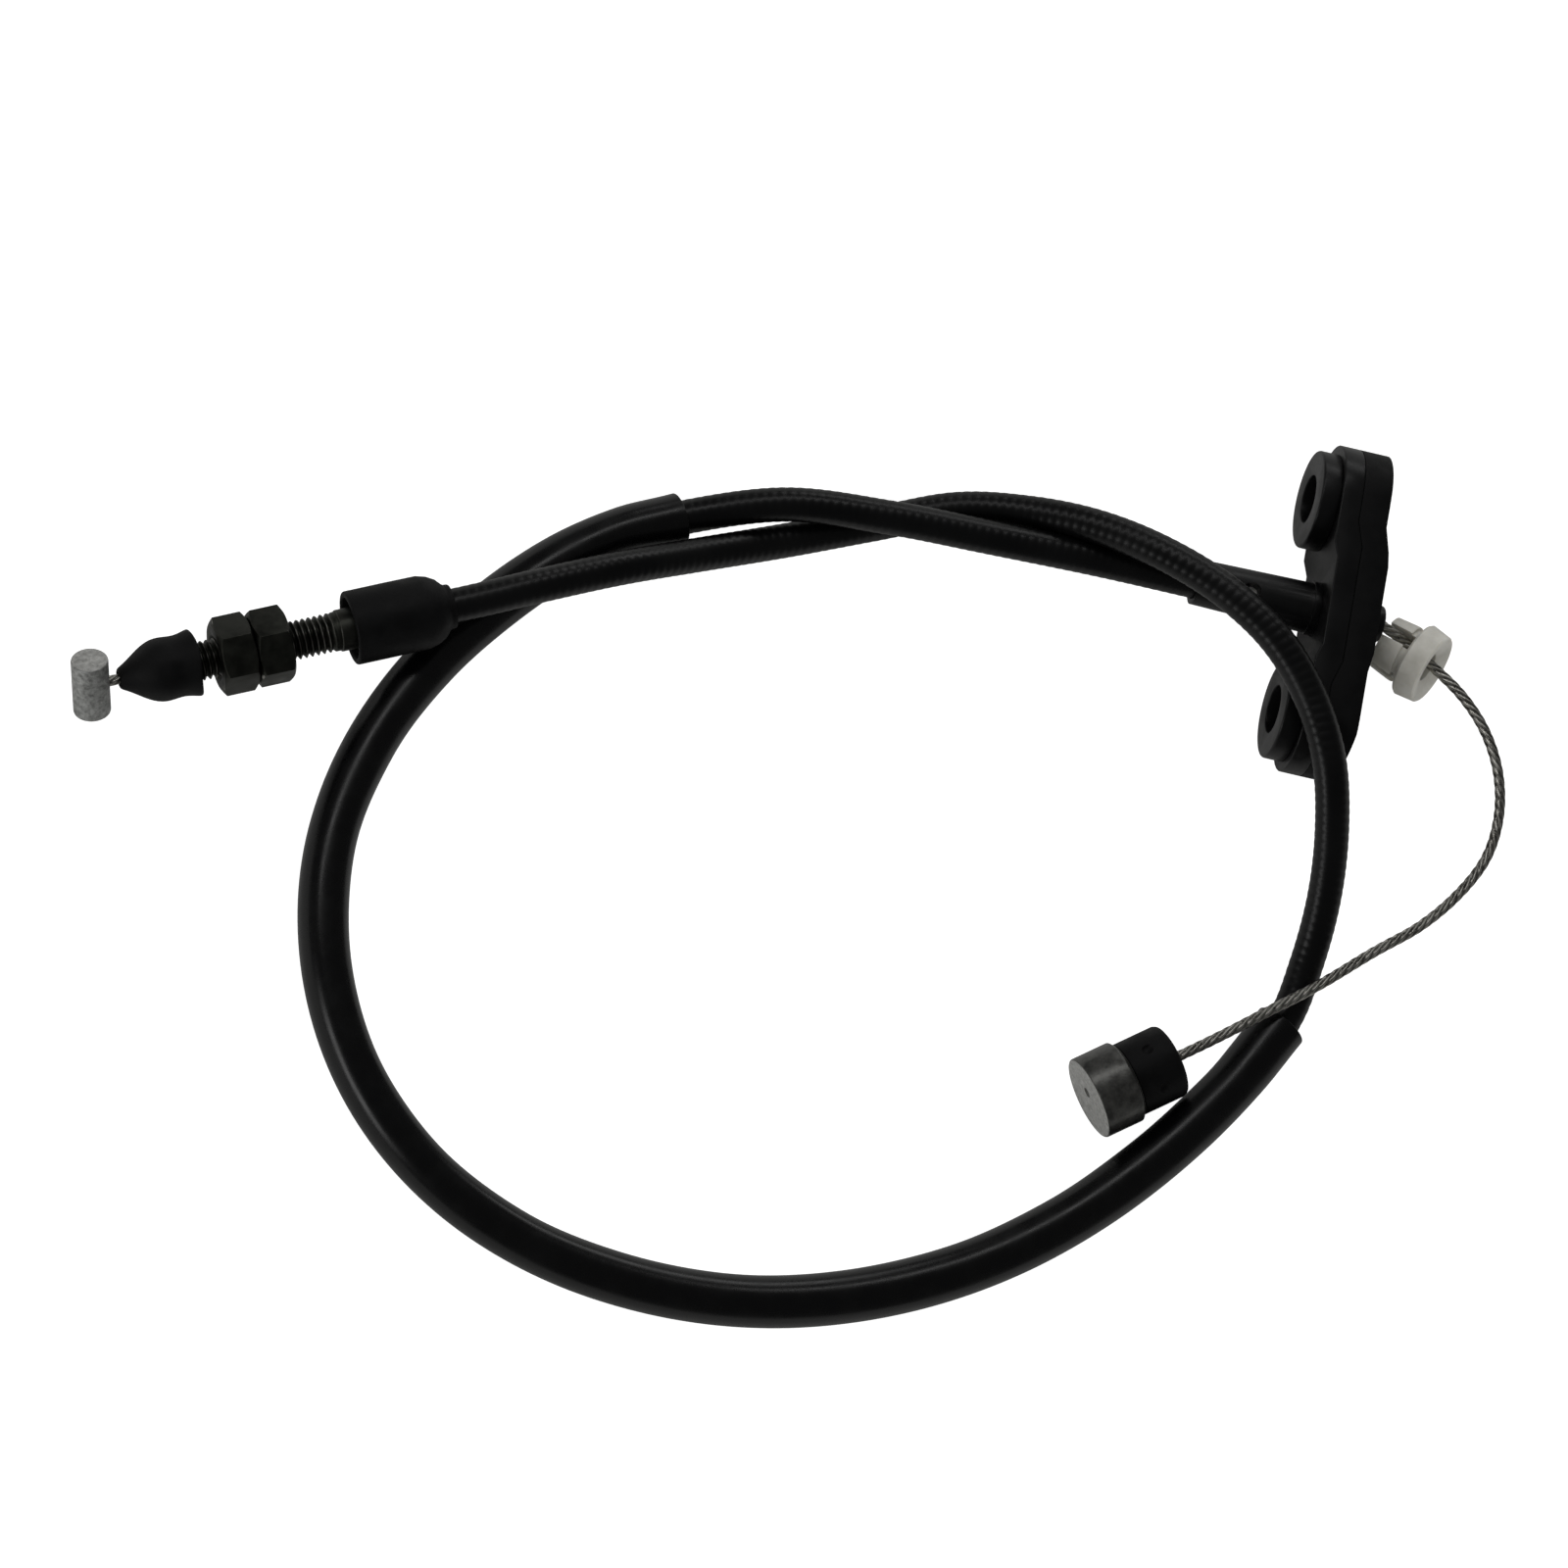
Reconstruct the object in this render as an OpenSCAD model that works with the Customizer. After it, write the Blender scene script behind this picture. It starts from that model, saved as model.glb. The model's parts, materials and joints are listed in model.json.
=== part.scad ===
// Throttle control cable with a threaded adjuster, a bulkhead flange and a pedal end.
// The origin is on the guide tube's axis, in the seal's mating face.
// +X runs along the guide tube to the pedal side, +Y along the flange, +Z up.

/* [Inner wire] */
// Diameter of the stranded inner wire
wire_d = 1.9; // [1.4:0.1:2.3]
// Radial play of the wire in its liner and guides
wire_play = 0.35; // [0.2:0.05:0.5]

/* [Casing] */
// Outer diameter of the ribbed casing
casing_d = 7; // [6.6:0.1:8.6]
// Wall of the black outer jacket
jacket_wall = 1; // [0.7:0.05:1.2]
// Wall of the white liner
liner_wall = 0.45; // [0.3:0.05:0.6]
// Radial gap between the casing's layers
layer_gap = 0.05; // [0.03:0.01:0.1]
// Gap between the casing and a socket that holds it
socket_play = 0.1; // [0.05:0.05:0.3]

/* [Protective sleeve] */
// Outer diameter of the smooth sleeve
sleeve_d = 11; // [10:0.5:13]
// Wall of the sleeve
sleeve_wall = 1; // [0.6:0.1:1.2]

/* [Adjuster] */
// Thread diameter
thread_d = 8; // [6:0.5:10]
// Length of the thread
thread_l = 37.5; // [32:0.5:48]
// Diameter of the plain collar behind the thread
collar_d = 8.5; // [8:0.5:12]
// Wall of the collar's tail around the casing
tail_wall = 0.6; // [0.4:0.1:1]
// Length of the plain collar in front of the casing's seat
collar_l = 6.5; // [5:0.5:9]
// How far the casing goes into the adjuster
casing_depth = 6; // [4:0.5:9]

/* [Lock nuts] */
// Width across flats
nut_af = 14; // [12:0.5:17]
// Height of each nut
nut_h = 7.3; // [5.5:0.1:8.5]
// Radial play between the nuts and the thread's crests
nut_play = 0.05; // [0.03:0.01:0.1]
// Gap between the two nuts
nut_gap = 0.2; // [0.1:0.1:1]
// Free thread between the nuts and the collar
rear_free = 10.5; // [6:0.5:12]
// Turn of the front nut's corners about the thread
front_nut_turn = 17; // [0:1:60]
// Turn of the rear nut's corners about the thread
rear_nut_turn = 8; // [0:1:60]

/* [Dust boot] */
// Length of the boot
boot_l = 16; // [13:0.5:19]
// Diameter of the boot's flared mouth
boot_d = 13.5; // [11:0.1:16]
// How much thread the boot covers
boot_grip = 8; // [5:0.5:9.5]

/* [Casing cap] */
// Diameter of the rubber cap's body
cap_d = 15; // [13:0.5:18]
// Length of the cap
cap_l = 21.4; // [18:0.1:26]
// Diameter of the cap's neck
neck_d = 9; // [9:0.1:11]
// How far the cap's mouth reaches over the collar
cap_reach = 4; // [2.5:0.1:5]

/* [Barrel nipple] */
// Diameter of the barrel nipple
nipple_d = 7.6; // [6:0.1:9]
// Length of the barrel nipple
nipple_l = 13.2; // [10:0.1:16]
// Gap between the nipple and the boot at rest
nipple_gap = 2; // [1:0.1:5]
// Turn of the nipple about the wire
nipple_turn = -138; // [-180:1:180]

/* [Guide tube] */
// Diameter of the guide tube at its open end
guide_tip_d = 9.3; // [9:0.1:11]
// Diameter of the guide tube at the flange
guide_root_d = 10.3; // [10:0.1:12]
// Length of the guide tube in front of the flange
guide_l = 25.5; // [20:0.5:31]
// How far the casing goes into the guide tube
guide_socket = 10.5; // [8:0.5:13]
// Length of the window in the guide tube
window_l = 3.4; // [2.5:0.1:4.2]
// Width of the window
window_w = 2.6; // [2:0.1:3.2]

/* [Flange] */
// Length of the flange
flange_l = 68; // [62:0.5:82]
// Width of the flange
flange_w = 22; // [21:0.5:27]
// Thickness of the plate at its hub
plate_t = 4.8; // [4:0.1:6]
// Thickness of the rubber seal at its hub
seal_t = 6; // [4.8:0.1:7.5]
// How far the flange's ends stand back from the hub
sweep_back = 1.6; // [0.5:0.1:2.5]
// Distance between the two bolt holes
bolt_spacing = 44; // [40:0.5:48]
// Diameter of the bolt holes
bolt_d = 9.8; // [6.5:0.1:12]
// Diameter of the mounting pads
pad_d = 20; // [17:0.5:21]
// Height of the mounting pads
pad_h = 4; // [3:0.1:5]

/* [Nozzle] */
// Diameter of the nozzle
nozzle_d = 7.5; // [6:0.1:9]
// How far the nozzle stands out of the seal
nozzle_l = 3.3; // [2:0.1:4]

/* [Pedal bush] */
// Diameter of the bush's head at its back
head_d = 15.8; // [14:0.1:18]
// Thickness of the head
head_t = 4.8; // [3.5:0.1:5.8]
// Diameter of the bush's body
body_d = 12.4; // [11:0.1:12.6]
// Diameter of the groove behind the head
groove_d = 11; // [10:0.1:11.6]
// Width of the groove
groove_w = 1.6; // [1:0.1:2.2]
// Overall length of the bush
bush_l = 11.4; // [9:0.1:11.6]
// Bore in the bush's body
bush_bore_d = 8; // [7:0.1:9]
// Hole in the bush's outer face
bush_hole_d = 6; // [5:0.1:7]
// Width of the slot along the body
slot_w = 3.4; // [3:0.1:4.2]

/* [Pedal nipple] */
// Diameter of the die-cast nipple
stop_d = 17.2; // [15:0.1:17.3]
// Length of the die-cast nipple
stop_l = 8.9; // [6:0.1:10.7]
// Diameter of the rubber damper
damper_d = 15.4; // [13:0.1:15.6]
// Length of the rubber damper
damper_l = 10.2; // [8:0.1:12.3]
// How far the wire goes into the nipple
wire_grip = 5; // [3:0.5:5.5]

/* [Hidden] */
$fn = 72;
eps = 0.01;
jacket_sides = 12;
layer_sides = 8;
up = [0, 0, 1];

wire_r = wire_d / 2;
guide_r = wire_r + wire_play;
casing_r = casing_d / 2;
jacket_in_r = casing_r - jacket_wall;
coil_r = jacket_in_r * cos(180 / jacket_sides) - layer_gap;
liner_r = guide_r + liner_wall;
coil_in_r = liner_r + layer_gap;
socket_r = casing_r + socket_play;
liner_hole_r = liner_r + layer_gap;

// Adjuster: lengths are measured from the casing's seat towards the engine end
seat_pos = [-203.5, -48, 3.2];
adjuster_rise = 7;
adjuster_heading = 24;
adjuster_dir = [cos(adjuster_rise) * cos(adjuster_heading),
    cos(adjuster_rise) * sin(adjuster_heading), sin(adjuster_rise)];
thread_r = thread_d / 2;
collar_r = max(collar_d / 2, socket_r + tail_wall);
thread_end = collar_l + thread_l;
nut_start = collar_l + rear_free;
boot_start = thread_end - boot_grip;
boot_tip = boot_start + boot_l;
nipple_pos = boot_tip + nipple_gap + nipple_d / 2;
cap_mouth = cap_reach;
cap_end = cap_mouth - cap_l;

// Flange: places along X, from the seal's mating face back to the pads
plate_front = -seal_t;
plate_back = plate_front - plate_t;
end_back = plate_back - 1.1;
end_front = plate_front - sweep_back;
pad_face = end_back - pad_h;
guide_tip = plate_back - guide_l;
guide_seat = guide_tip + guide_socket;
flange_end_y = (flange_l - flange_w) / 2;
hub_y = 12;
end_y = 17;
edge_y = flange_l / 2 + 1;
guide_collar_l = 1.5;
window_x = guide_seat + 0.5;

bush_pos = [15.9, -6.3, -1.8];
bush_rise = 22.5;
bush_heading = -25.7;
bush_slot_turn = 171;
damper_pos = [-24.2, -97, -0.8];
damper_heading = 216.7;
damper_droop = 4.8;
damper_dir = [cos(damper_droop) * cos(damper_heading), cos(damper_droop) * sin(damper_heading),
    -sin(damper_droop)];

// Casing's route, from the adjuster round the loop to the guide tube
route_start = [seat_pos, seat_pos + 22 * adjuster_dir];
route_free = [[-172, -33.6, 6.5], [-155, -25.4, 4.2], [-138, -17.6, -1.2], [-120, -9.6, -6],
    [-102, -1.7, -7.4], [-86, 4.9, -6.2], [-72, 6.6, -2.2], [-59, 5.5, 3.8], [-46, 1.9, 9.2],
    [-33, -3.8, 13], [-21.5, -11.6, 15], [-12.6, -21.7, 15.2], [-6.4, -33.6, 14.6], [-2.2, -46, 9.6],
    [0.2, -58.5, 3.2], [0.4, -71.5, -3]];
route_sleeve = [[-2, -84, -5.5], [-11, -100, -5.5], [-24, -117.5, -5.5], [-40, -134, -5.5],
    [-59, -148, -5.5], [-81, -158.5, -5.5], [-104, -164.5, -5.5], [-128, -165.5, -5.5],
    [-151, -161.5, -5.5], [-172, -151.5, -5.5], [-188.5, -135.5, -5.5], [-198.5, -115, -5.5],
    [-201.5, -92, -5.5], [-197, -70, -5.5], [-187, -50, -5.5], [-172.5, -31.6, -5.5],
    [-157.2, -18, -5.5], [-142, -10, -5.5]];
route_bulkhead = [[-122, -3.3, -1.6], [-101, -1.5, 0.2], [-79, -0.7, 0], [-57, -0.1, 0],
    [guide_tip - 2, 0, 0], [guide_seat, 0, 0]];
route = concat(route_start, route_free, route_sleeve, route_bulkhead);
liner_route = concat(route, [[plate_front, 0, 0]]);
inner_wire_route = concat(route, [[1, 0, 0]]);

// Bare wire's route, from the nozzle to the damper
pedal_route = [[1, 0, 0], [nozzle_l, 0, 0], [9.4, -2.2, -1.3], [ 16.1, -5.9, -1.4],
    [ 22.6, -10.5, -0.6], [ 28.1, -16.6, 0.2], [32, -24.3, 0.8], [33.7, -33, 0.9], [32.6, -42.1, 1],
    [28.2, -50.7, 1.2],
    [21.4, -59.1, 1.5], [12.5, -66.8, 1.6], [3.1, -75.4, 1.5], [-6.5, -83.2, 1.2], [-15.5, -90.4, 0.1],
    damper_pos, damper_pos + (damper_l + wire_grip) * damper_dir];

// Sweeps along a list of points
function unit(v) = v / norm(v);
function heading_at(p, i) = unit(p[min(i + 1, len(p) - 1)] - p[max(i - 1, 0)]);
function ring_at(p, i, r, sides) =
    let (t = heading_at(p, i), side = unit(cross(t, up)), top = cross(side, t))
    [for (k = [0 : sides - 1]) p[i] + r * (cos(360 * k / sides) * side + sin(360 * k / sides) * top)];
function tube_points(p, r, sides) = [for (i = [0 : len(p) - 1]) each ring_at(p, i, r, sides)];
function wall_faces(rings, sides, first, outward) =
    [for (i = [0 : rings - 2]) for (k = [0 : sides - 1])
        let (a = first + i * sides + k, b = first + i * sides + (k + 1) % sides)
        outward ? [a, b, b + sides, a + sides] : [a + sides, b + sides, b, a]];

module swept_rod(p, r, sides) {
    last = (len(p) - 1) * sides;
    polyhedron(tube_points(p, r, sides), concat(
        [[for (k = [sides - 1 : -1 : 0]) k]],
        wall_faces(len(p), sides, 0, true),
        [[for (k = [0 : sides - 1]) last + k]]), convexity = 10);
}

module swept_pipe(p, r, in_r, sides) {
    inner = len(p) * sides;
    last = (len(p) - 1) * sides;
    polyhedron(concat(tube_points(p, r, sides), tube_points(p, in_r, sides)), concat(
        wall_faces(len(p), sides, 0, true),
        wall_faces(len(p), sides, inner, false),
        [for (k = [0 : sides - 1]) let (m = (k + 1) % sides) [m, k, inner + k, inner + m]],
        [for (k = [0 : sides - 1]) let (m = (k + 1) % sides)
            [last + k, last + m, inner + last + m, inner + last + k]]), convexity = 10);
}

// Frames of the pieces that don't lie along the row's axes
module at_adjuster(along = 0) {
    translate(seat_pos) rotate([0, 90 + adjuster_rise, adjuster_heading + 180])
        translate([0, 0, along]) children();
}
module at_bush() {
    translate(bush_pos) rotate([0, 90 - bush_rise, bush_heading]) children();
}
module at_damper(along = 0) {
    translate(damper_pos) rotate([0, 90 + damper_droop, damper_heading])
        translate([0, 0, along]) children();
}
module along_x(from, to, r1, r2) {
    translate([from, 0, 0]) rotate([0, 90, 0]) cylinder(h = to - from, r1 = r1, r2 = r2);
}
module drill_x(r, y = 0) {
    translate([pad_face - 5, y, 0]) rotate([0, 90, 0]) cylinder(h = 5 - pad_face + nozzle_l + 5, r = r);
}

// Engine end
module barrel_nipple() color("lightgray") at_adjuster(nipple_pos) difference() {
    rotate([0, 0, nipple_turn]) rotate([0, 90, 0]) cylinder(h = nipple_l, d = nipple_d, center = true);
    translate([0, 0, -nipple_d]) cylinder(h = nipple_d, r = wire_r);
}

module throttle_wire() color("silver") at_adjuster(eps) cylinder(h = nipple_pos - eps, r = wire_r);

module dust_boot() color("#1c1c1e") at_adjuster(boot_start) difference() {
    mouth_r = boot_d / 2;
    tip_r = guide_r + 1.1;
    rotate_extrude() polygon([[0, 0], [mouth_r, 0], [mouth_r - 0.5, 3.3], [mouth_r - 0.25, 5.6],
        [mouth_r - 0.7, boot_l * 0.56], [tip_r + 1.8, boot_l * 0.8], [tip_r, boot_l - 0.4],
        [tip_r - 0.4, boot_l], [0, boot_l]]);
    translate([0, 0, -eps]) cylinder(h = boot_grip + eps, r = thread_r);
    translate([0, 0, -eps]) cylinder(h = 2.4, r1 = mouth_r - 0.9, r2 = thread_r);
    translate([0, 0, boot_grip - eps]) cylinder(h = 3, r1 = thread_r, r2 = guide_r);
    cylinder(h = boot_l + 1, r = guide_r);
}

module adjuster_tube() color("#4a4a4c") at_adjuster() difference() {
    union() {
        translate([0, 0, collar_l - eps]) cylinder(h = thread_l - 0.8 + eps, r = thread_r);
        translate([0, 0, thread_end - 0.8]) cylinder(h = 0.8, r1 = thread_r, r2 = thread_r - 0.8);
        translate([0, 0, -casing_depth]) cylinder(h = casing_depth + collar_l, r = collar_r);
    }
    translate([0, 0, -1]) cylinder(h = thread_end + 2, r = guide_r);
    translate([0, 0, -casing_depth - 1]) cylinder(h = casing_depth + 1, r = socket_r);
}

module lock_nut(turn) difference() {
    corner_r = nut_af / sqrt(3);
    face_r = nut_af / 2 - 0.25;
    outside_r = corner_r + 0.4;
    chamfer = (outside_r - face_r) * tan(30);
    intersection() {
        rotate([0, 0, turn]) cylinder(h = nut_h, r = corner_r, $fn = 6);
        rotate_extrude() polygon([[0, 0], [face_r, 0], [outside_r, chamfer],
            [outside_r, nut_h - chamfer], [face_r, nut_h], [0, nut_h]]);
    }
    translate([0, 0, -1]) cylinder(h = nut_h + 2, r = thread_r + nut_play);
    translate([0, 0, -eps]) cylinder(h = 0.6, r1 = thread_r + 0.7, r2 = thread_r + nut_play);
    translate([0, 0, nut_h - 0.6 + eps]) cylinder(h = 0.6, r1 = thread_r + nut_play, r2 = thread_r + 0.7);
}
module lock_nut_rear() color("#5b5f5a") at_adjuster(nut_start) lock_nut(rear_nut_turn);
module lock_nut_front() color("#5b5f5a")
    at_adjuster(nut_start + nut_h + nut_gap) lock_nut(front_nut_turn);

module casing_cap() color("#232325") at_adjuster(cap_end) difference() {
    body_start = cap_l - (cap_l - 6.2);
    rotate_extrude() polygon([[0, 0], [neck_d / 2, 0], [neck_d / 2, 1.1],
        [neck_d / 2 + (cap_d - neck_d) * 0.25, 2.6], [cap_d / 2 - 0.6, body_start - 1.6],
        [cap_d / 2, body_start], [cap_d / 2, cap_l - 0.3], [cap_d / 2 - 0.3, cap_l], [0, cap_l]]);
    translate([0, 0, -1]) cylinder(h = cap_l + 2, r = socket_r);
    translate([0, 0, -cap_end - casing_depth]) cylinder(h = cap_l, r = collar_r);
    translate([0, 0, cap_l - 2.6]) cylinder(h = 3, r = cap_d / 2 - 1.5);
}

// Casing, sleeve and inner wire
module conduit_jacket() color("#2a2a2c") swept_pipe(route, casing_r, jacket_in_r, jacket_sides);
module conduit_coil() color("#8d9093") swept_pipe(route, coil_r, coil_in_r, layer_sides);
module conduit_liner() color("#f0f0ec") swept_pipe(liner_route, liner_r, guide_r, layer_sides);
module conduit_wire() color("silver") swept_rod(inner_wire_route, wire_r, layer_sides);
module protective_sleeve() color("#1e1e20")
    swept_pipe(route_sleeve, sleeve_d / 2, sleeve_d / 2 - sleeve_wall, jacket_sides);

// Guide tube and flange
module guide_tube() color("#2b2b2d") difference() {
    union() {
        along_x(guide_tip, plate_back, guide_tip_d / 2, guide_root_d / 2);
        along_x(plate_back - guide_collar_l, plate_back, guide_root_d / 2 + 0.3, guide_root_d / 2 + 0.3);
        along_x(plate_back - eps, plate_front, nozzle_d / 2 + 0.8, nozzle_d / 2 + 0.8);
    }
    along_x(guide_tip - 1, guide_seat, socket_r, socket_r);
    along_x(guide_seat - 1, plate_front + 1, liner_hole_r, liner_hole_r);
    translate([window_x, 0, liner_hole_r * 0.5]) {
        for (side = [-1, 1]) translate([side * (window_l - window_w) / 2, 0, 0]) cylinder(h = 10, d = window_w);
        translate([-(window_l - window_w) / 2, -window_w / 2, 0]) cube([window_l - window_w, window_w, 10]);
    }
}

function arc(cy, r, from, to) = [for (a = [from : 10 : to]) [cy + r * cos(a), r * sin(a)]];
module flange_outline(shrink = 0) {
    r = flange_w / 2 - shrink;
    polygon(concat(arc(flange_end_y, r, -90, 90), arc(-flange_end_y, r, 90, 270)));
}
module flange_slab(side_profile, shrink = 0) intersection() {
    linear_extrude(height = flange_w + 2, center = true) polygon(side_profile);
    translate([pad_face, 0, 0]) rotate([90, 0, 90])
        linear_extrude(height = 2 - pad_face) flange_outline(shrink);
}
module bolt_holes() for (side = [-1, 1]) drill_x(bolt_d / 2, side * bolt_spacing / 2);

module flange_plate() color("#303032") difference() {
    flange_slab([[end_back, -edge_y], [end_front, -edge_y], [end_front, -end_y], [plate_front, -hub_y],
        [plate_front, hub_y], [end_front, end_y], [end_front, edge_y], [end_back, edge_y],
        [end_back, hub_y], [plate_back, hub_y - 3], [plate_back, 3 - hub_y], [end_back, -hub_y]]);
    drill_x(nozzle_d / 2 + 0.8);
    bolt_holes();
}

module mount_pad(y) translate([pad_face, y, 0]) rotate([0, 90, 0]) difference() {
    rotate_extrude() polygon([[0, 0], [pad_d / 2 - 0.3, 0], [pad_d / 2, 0.3], [pad_d / 2, pad_h], [0, pad_h]]);
    translate([0, 0, -1]) cylinder(h = pad_h + 2, d = bolt_d);
}
module mount_pad_upper() color("#3a3a3c") mount_pad(bolt_spacing / 2);
module mount_pad_lower() color("#3a3a3c") mount_pad(-bolt_spacing / 2);

module flange_seal() color("#202022") difference() {
    flange_slab([[end_front, -edge_y], [-1.8, -edge_y], [-0.6, -end_y - 9], [-0.6, -hub_y - 1],
        [0, -hub_y + 3], [0, hub_y - 3], [-0.4, hub_y], [-1.7, end_y], [-1.7, edge_y],
        [end_front, edge_y], [end_front, end_y], [plate_front, hub_y], [plate_front, -hub_y],
        [end_front, -end_y]]);
    drill_x(nozzle_d / 2);
    bolt_holes();
}

module nozzle() color("#18181a") difference() {
    union() {
        along_x(plate_front, nozzle_l - 0.4, nozzle_d / 2, nozzle_d / 2);
        along_x(nozzle_l - 0.4, nozzle_l, nozzle_d / 2, nozzle_d / 2 - 0.4);
    }
    drill_x(guide_r);
}

// Bush on the bare wire
module pedal_bush() color("#f4f3ec") at_bush() difference() {
    head_r = head_d / 2;
    body_r = body_d / 2;
    bore_r = bush_bore_d / 2;
    hole_r = bush_hole_d / 2;
    groove_end = head_t + groove_w;
    rotate_extrude() polygon([[bore_r, -bush_l], [body_r - 0.5, -bush_l], [body_r, -groove_end - 0.8],
        [body_r, -groove_end], [groove_d / 2, -groove_end], [groove_d / 2, -head_t],
        [head_r - 0.4, -head_t], [head_r, 0.5 - head_t], [head_r - 0.5, -0.3], [head_r - 0.8, 0],
        [head_r - 2, 0], [hole_r, -1.2], [hole_r, -2.4], [bore_r, -2.4]]);
    rotate([0, 0, bush_slot_turn]) translate([0, -slot_w / 2, -bush_l - 1])
        cube([head_d, slot_w, bush_l + 1 - head_t - groove_w / 3]);
    for (turn = [90, 270]) rotate([0, 0, bush_slot_turn + turn])
        translate([0, -0.6, -bush_l - 1]) cube([head_d, 1.2, bush_l + 1 - groove_end + 0.4]);
}

// Pedal end
module pedal_wire() color("silver") swept_rod(pedal_route, wire_r, layer_sides);

module rubber_damper() color("#151516") at_damper() difference() {
    rotate_extrude() polygon([[0, 0], [damper_d / 2 - 1.2, 0], [damper_d / 2 - 0.35, 0.35],
        [damper_d / 2, 1.2], [damper_d / 2, damper_l], [0, damper_l]]);
    translate([0, 0, -1]) cylinder(h = damper_l + 2, r = wire_r);
}

module pedal_nipple() color("#77787a") at_damper(damper_l) difference() {
    rotate_extrude() polygon([[0, 0], [damper_d / 2 - 0.1, 0], [stop_d / 2, 0.8], [stop_d / 2, stop_l - 0.2],
        [stop_d / 2 - 0.2, stop_l], [0, stop_l]]);
    translate([0, 0, -1]) cylinder(h = wire_grip + 1, r = wire_r);
}

barrel_nipple();
throttle_wire();
dust_boot();
adjuster_tube();
lock_nut_front();
lock_nut_rear();
casing_cap();
conduit_jacket();
conduit_coil();
conduit_liner();
conduit_wire();
protective_sleeve();
guide_tube();
flange_plate();
mount_pad_upper();
mount_pad_lower();
flange_seal();
nozzle();
pedal_bush();
pedal_wire();
rubber_damper();
pedal_nipple();
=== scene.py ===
import json
import math

import bpy
from mathutils import Matrix, Vector


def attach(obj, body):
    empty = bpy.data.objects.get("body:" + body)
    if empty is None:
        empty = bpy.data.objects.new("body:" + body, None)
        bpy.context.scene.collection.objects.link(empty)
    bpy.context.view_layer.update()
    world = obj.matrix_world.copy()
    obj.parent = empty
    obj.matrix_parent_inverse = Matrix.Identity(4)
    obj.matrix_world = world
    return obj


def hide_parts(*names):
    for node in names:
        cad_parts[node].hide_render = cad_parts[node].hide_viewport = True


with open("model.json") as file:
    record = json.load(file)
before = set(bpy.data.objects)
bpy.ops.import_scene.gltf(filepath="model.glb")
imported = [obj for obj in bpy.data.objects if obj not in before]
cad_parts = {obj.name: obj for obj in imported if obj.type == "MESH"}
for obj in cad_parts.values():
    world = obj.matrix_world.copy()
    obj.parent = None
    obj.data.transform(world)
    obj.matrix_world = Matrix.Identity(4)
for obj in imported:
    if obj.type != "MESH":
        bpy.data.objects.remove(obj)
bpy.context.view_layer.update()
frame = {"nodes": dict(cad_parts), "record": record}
mounts = {mount["name"]: mount for mount in frame["record"]["mounts"]}
mm = 0.001
fullTurn = 2 * math.pi
print("frame loaded:", len(frame["nodes"]), "nodes")

# Camera: back points from the target to it
view = {
    "target": (-0.11165, -0.05867, -0.00506), "distance": 13.07, "lens": 1500, "sensor": 36,
    "back": (-0.2366, -0.2367, 0.9424), "up": (-0.2193, 0.9579, 0.1855),
}


def addCamera():
    back, up = Vector(view["back"]).normalized(), Vector(view["up"])
    right = up.cross(back).normalized()
    up = back.cross(right)
    bpy.ops.object.camera_add()
    camera = bpy.context.object
    camera.name = "camera"
    spot = Vector(view["target"]) + back * view["distance"]
    camera.matrix_world = Matrix.Translation(spot) @ Matrix((right, up, back)).transposed().to_4x4()
    camera.data.lens = view["lens"]
    camera.data.sensor_width = view["sensor"]
    camera.data.clip_start = 0.01
    camera.data.clip_end = 30
    bpy.context.scene.camera = camera


addCamera()


# Materials
def srgb(code):
    channels = [int(code[i:i + 2], 16) / 255 for i in (1, 3, 5)]
    return [c / 12.92 if c <= 0.04045 else ((c + 0.055) / 1.055) ** 2.4 for c in channels] + [1]


def addNode(tree, kind, settings=(), links=()):
    node = tree.nodes.new(kind)
    for key, value in dict(settings).items():
        if isinstance(key, str) and hasattr(node, key):
            setattr(node, key, value)
        else:
            node.inputs[key].default_value = value
    for key, source in dict(links).items():
        tree.links.new(source, node.inputs[key])
    return node


def newMaterial(name, **settings):
    material = bpy.data.materials.new(name)
    material.use_nodes = True
    shader = material.node_tree.nodes["Principled BSDF"]
    for key, value in settings.items():
        shader.inputs[key.replace("_", " ")].default_value = value
    place = addNode(material.node_tree, "ShaderNodeTexCoord").outputs["Object"]
    return material, material.node_tree, shader, place


def spots(tree, place, sizeMm, detail=3.0, roughness=0.55):
    return addNode(tree, "ShaderNodeTexNoise", {"Scale": 1 / (sizeMm * mm), "Detail": detail,
                   "Roughness": roughness}, {"Vector": place}).outputs["Fac"]


def twoColours(tree, amount, dark, light, low=0.35, high=0.65):
    ramp = addNode(tree, "ShaderNodeValToRGB", links={"Fac": amount})
    for stop, position, code in zip(ramp.color_ramp.elements, (low, high), (dark, light)):
        stop.position = position
        stop.color = srgb(code)
    return ramp.outputs["Color"]


def spread(tree, amount, low, high):
    return addNode(tree, "ShaderNodeMapRange", {"From Min": 0.3, "From Max": 0.7, "To Min": low,
                   "To Max": high}, {"Value": amount}).outputs["Result"]


def relief(tree, amount, depthMm, strength):
    return addNode(tree, "ShaderNodeBump", {"Distance": depthMm * mm, "Strength": strength},
                   {"Height": amount}).outputs["Normal"]


def finish(tree, shader, **links):
    for key, source in links.items():
        tree.links.new(source, shader.inputs[key.replace("_", " ")])


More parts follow.
